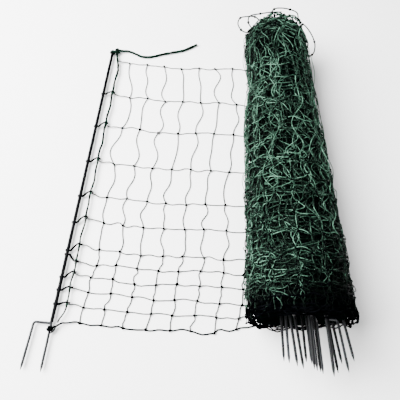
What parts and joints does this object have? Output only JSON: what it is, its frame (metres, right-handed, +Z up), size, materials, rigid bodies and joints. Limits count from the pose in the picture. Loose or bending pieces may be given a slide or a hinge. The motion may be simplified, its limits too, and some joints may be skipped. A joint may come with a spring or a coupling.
{
  "type": "electric poultry netting roll",
  "caption": "Electric poultry netting partly unrolled from its roll, with an end post on clips, a tie rope and welded double ground spikes.",
  "frame": {"origin": "middle of the roll's pressed-flat underside, on the ground", "axes": "+Y along the roll towards the net's top edge and the posts' tops, -Y towards the ground spikes, -X towards the unrolled panel and its end post, +Z up from the ground"},
  "size_m": [1.0601, 1.3982, 0.3228],
  "materials": {
    "post": "satin",
    "spike": "satin",
    "green_strand": "matte",
    "black_strand": "matte",
    "rope": "matte",
    "tie": "matte",
    "clip": "satin",
    "wound_net": "matte"
  },
  "bodies": {
    "roll": {"wound_net": "wound_net", "rolled_post_1": "post", "rolled_post_2": "post", "rolled_post_3": "post", "rolled_post_4": "post", "rolled_post_5": "post", "rolled_post_6": "post", "rolled_post_7": "post", "rolled_post_8": "post", "rolled_spike_1": "spike", "rolled_spike_2": "spike", "rolled_spike_3": "spike", "rolled_spike_4": "spike", "rolled_spike_5": "spike", "rolled_spike_6": "spike", "rolled_spike_7": "spike", "rolled_spike_8": "spike"},
    "net_panel": {"end_rope": "rope", "top_knot": "tie", "tie_tail": "rope", "horizontal_strand_01": "green_strand", "horizontal_strand_02": "green_strand", "horizontal_strand_03": "green_strand", "horizontal_strand_04": "green_strand", "horizontal_strand_05": "green_strand", "horizontal_strand_06": "green_strand", "horizontal_strand_07": "green_strand", "horizontal_strand_08": "green_strand", "horizontal_strand_09": "green_strand", "horizontal_strand_10": "green_strand", "horizontal_strand_11": "green_strand", "horizontal_strand_12": "black_strand", "upright_strand_1": "green_strand", "upright_strand_2": "green_strand", "upright_strand_3": "green_strand", "upright_strand_4": "green_strand", "upright_strand_5": "green_strand", "upright_strand_6": "green_strand", "upright_strand_7": "green_strand", "upright_strand_8": "green_strand"},
    "end_post": {"end_post": "post", "end_spike": "spike", "top_tie": "tie", "bottom_tie": "tie", "clip_02": "clip", "clip_03": "clip", "clip_04": "clip", "clip_05": "clip", "clip_06": "clip", "clip_07": "clip", "clip_08": "clip", "clip_09": "clip", "clip_10": "clip", "clip_11": "clip"}
  },
  "joints": [
    {"name": "net_fold", "type": "hinge", "parent": "roll", "child": "net_panel", "pos_m": [-0.135, 0, 0.006], "axis": [0, 1, 0], "range_deg": [0, 65]},
    {"name": "post_fold", "type": "hinge", "parent": "net_panel", "child": "end_post", "pos_m": [-0.77368, -0.55964, 0.01225], "axis": [0.0958, 0.9954, 0], "range_deg": [0, 120]}
  ]
}
